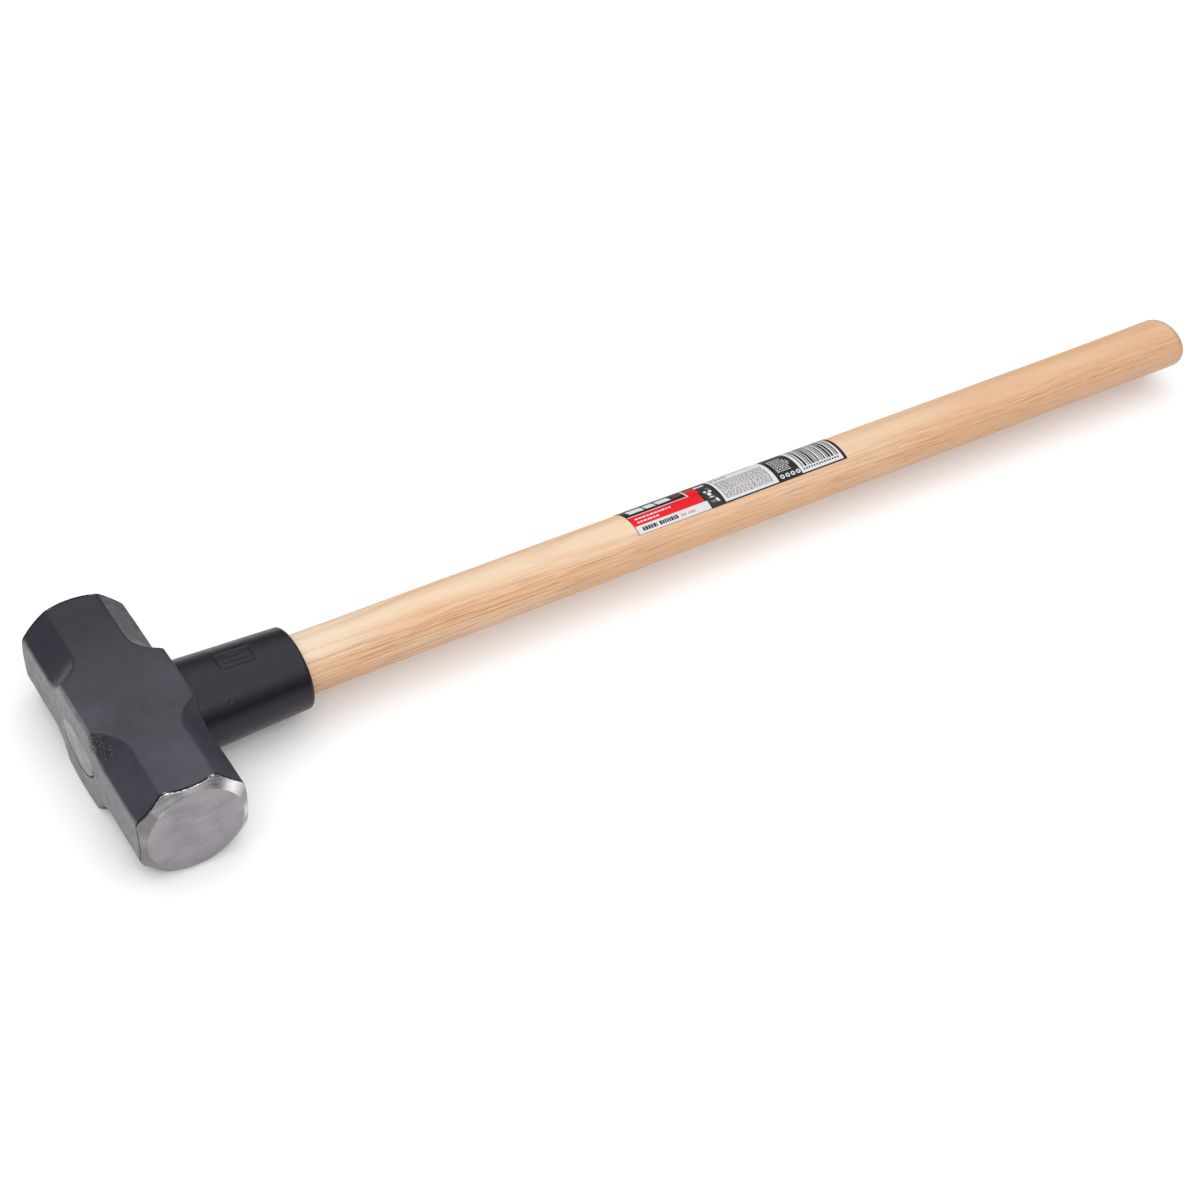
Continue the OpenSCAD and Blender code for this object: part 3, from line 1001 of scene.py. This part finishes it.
def build_label():
    rng = random.Random(7)
    near, far = LABEL_LO.x / MM, LABEL_HI.x / MM
    low, high = 122.5, -12.0  # near and far edges, in degrees round the grip
    film = Print()
    film.slab(
        [
            [(near + (far - near) * i / 24, low + (high - low) * k / 44) for i in range(25)]
            for k in range(45)
        ],
        "black",
        FILM_T,
        0.0,
    )
    film_piece = film.piece("label_film", {"black": film_material("film_black", INKS["black"])})
    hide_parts("label")

    ink = Print()
    # front panel: black band with plain bars, red block, white strip
    ink.block(near + 0.3, near + 59, low - 0.5, 104, "white", 1)
    ink.block(near + 0.3, near + 57.5, 103.9, 79.6, "red", 1)
    ink.block(near + 51, near + 59.5, 79.6, 58, "red", 1)
    ink.block(near + 0.3, near + 50.4, 79.6, 77.8, "white", 2)
    ink.block(near + 49.2, near + 50.4, 77.8, 52, "white", 2)
    for x, length in ((4, 12), (17.4, 8), (26.8, 11)):
        ink.block(near + x, near + x + length, 70, 55, "white", 2, slant=0.8)
    ink.block(near + 40.5, near + 47.5, 66, 64, "red", 2)
    ink.words(near + 4, near + 33, 90, 86.6, "white", rng, 1.6, 4, 0.7)
    ink.words(near + 4, near + 22, 98.6, 95.2, "white", rng, 1.6, 4, 0.7)
    for start, end in ((4.5, 16), (18, 33)):
        ink.words(near + start, near + end, 117, 109, "slate", rng, 1.1, 2.0, 0.45)
    for start, end in ((35.5, 40), (41.2, 47)):
        ink.words(near + start, near + end, 116.2, 111.5, "pink", rng, 0.7, 1.2, 0.45)

    # narrow dark panel with plain light shapes, closed by a curved rule
    ink.block(near + 59.8, near + 69, 119.5, 64, "slate", 1)
    ink.block(near + 59.5, near + 67.5, 63, 57, "white", 2)
    for x, a, r in ((64.2, 92, 1.6), (66.4, 85, 1.3), (62.6, 84, 1.1)):
        ink.disc(near + x, a, r, "white", 2)
    ink.block(near + 62, near + 65.5, 101, 98.5, "white", 2, slant=1.2)
    ink.block(near + 64.5, near + 67.5, 78, 74, "grey", 2, slant=1)
    ink.block(near + 61, near + 64.5, 112, 107, "grey", 2, slant=1.5)
    ink.block(near + 65.5, near + 67.5, 113, 105, "white", 2, slant=0.8)

    # white panel of small print
    ink.block(near + 71.5, near + 117, 119.6, -8, "white", 1)
    ink.words(near + 73, near + 87, 60.5, 57, "slate", rng, 2, 4, 0.6)
    ink.block(near + 72.5, near + 115.5, 53.5, 52.7, "grey", 2)
    for row in range(15):
        a = 113.6 - row * 3.1
        ink.words(near + 73.6, near + 114, a, a - 1.9, "grey", rng, 0.7, 3.2, 0.7)
    for row in range(17):
        a = 49 - row * 3.1
        ink.words(near + 73.6, near + 112, a, a - 1.8, "grey", rng, 0.8, 3.5, 0.6)

    # black panel with small print and four round signs
    for row in range(10):
        a = 101 - row * 4.0
        end = near + 120.5 + rng.uniform(10, 14.5)
        ink.words(near + 120.5, end, a, a - 1.9, "white", rng, 0.6, 2.2, 0.8)
    for place in range(4):
        ink.disc(near + 121.6 + 4.6 * place, 112, 1.75, "white", 1)
        ink.disc(near + 121.6 + 4.6 * place, 112, 0.8, "slate", 2)

    # white panel of bars, with a row of small plain marks under them
    ink.block(near + 137.8, near + 174.4, 119.6, -8, "white", 1)
    x = near + 140.5
    while x < near + 172:
        width = rng.choice((0.6, 0.8, 1.2, 1.9))
        ink.block(x, x + width, 107.5, 8, "black", 2)
        x += width + rng.choice((0.6, 0.8, 1.3))
    for i in range(14):
        ink.block(near + 140 + 2.3 * i, near + 141.4 + 2.3 * i, 114, 110.5, "slate", 2)

    inks = {name: film_material("ink_" + name, colour) for name, colour in INKS.items()}
    ink.piece("label_print", inks)


build_head()
build_handle()
build_wedges()
build_sleeve()
build_label()


# ------------------------------------------------------------ stage and camera
def build_stage():
    mesh = bpy.data.meshes.new("floor")
    size = FLOOR_HALF
    corners = [(-size, -size, 0), (size, -size, 0), (size, size, 0), (-size, size, 0)]
    mesh.from_pydata(corners, [], [(0, 1, 2, 3)])
    mesh.materials.append(floor_material())
    floor = bpy.data.objects.new("floor", mesh)
    bpy.context.scene.collection.objects.link(floor)


def area_light(name, place, target, size, power):
    data = bpy.data.lights.new(name, "AREA")
    data.shape = "RECTANGLE"
    data.size, data.size_y = size
    data.energy = power
    light = bpy.data.objects.new(name, data)
    light.location = place
    light.rotation_euler = (Vector(target) - Vector(place)).to_track_quat("-Z", "Y").to_euler()
    bpy.context.scene.collection.objects.link(light)


# soft dome: sines of the heights where it starts and stops brightening, and its strengths there
DOME = (0.3, 0.88, 0.12, 1.6)


def build_lights():
    world = bpy.data.worlds.new("studio")
    bpy.context.scene.world = world
    world.use_nodes = True
    nodes, links = world.node_tree.nodes, world.node_tree.links
    split = nodes.new("ShaderNodeSeparateXYZ")
    links.new(nodes.new("ShaderNodeTexCoord").outputs["Generated"], split.inputs[0])
    dome = nodes.new("ShaderNodeMapRange")
    dome.interpolation_type = "SMOOTHSTEP"
    links.new(split.outputs["Z"], dome.inputs["Value"])
    for socket, value in zip(("From Min", "From Max", "To Min", "To Max"), DOME):
        dome.inputs[socket].default_value = value
    links.new(dome.outputs[0], nodes["Background"].inputs["Strength"])
    nodes["Background"].inputs["Color"].default_value = (1, 1, 1, 1)
    # seen directly, the room is as pale as the floor
    plain = nodes.new("ShaderNodeBackground")
    plain.inputs["Color"].default_value = (1, 1, 1, 1)
    seen = nodes.new("ShaderNodeMixShader")
    links.new(nodes.new("ShaderNodeLightPath").outputs["Is Camera Ray"], seen.inputs[0])
    links.new(nodes["Background"].outputs[0], seen.inputs[1])
    links.new(plain.outputs[0], seen.inputs[2])
    links.new(seen.outputs[0], nodes["World Output"].inputs["Surface"])
    area_light("front", (-0.1, -1.5, 2.1), (0.2, 0, 0), (1.6, 0.7), 10)


def build_camera():
    data = bpy.data.cameras.new("camera")
    data.lens = 56.096
    data.sensor_width = 36
    data.clip_start = 0.01
    camera = bpy.data.objects.new("camera", data)
    camera.location = (-0.2425, -0.7466, 0.8039 + AXIS_Z)
    camera.rotation_euler = Euler([math.radians(a) for a in (47.836, -4.457, -33.536)])
    bpy.context.scene.collection.objects.link(camera)
    bpy.context.scene.camera = camera
    bpy.context.scene.view_settings.view_transform = "Standard"


build_stage()
build_lights()
build_camera()
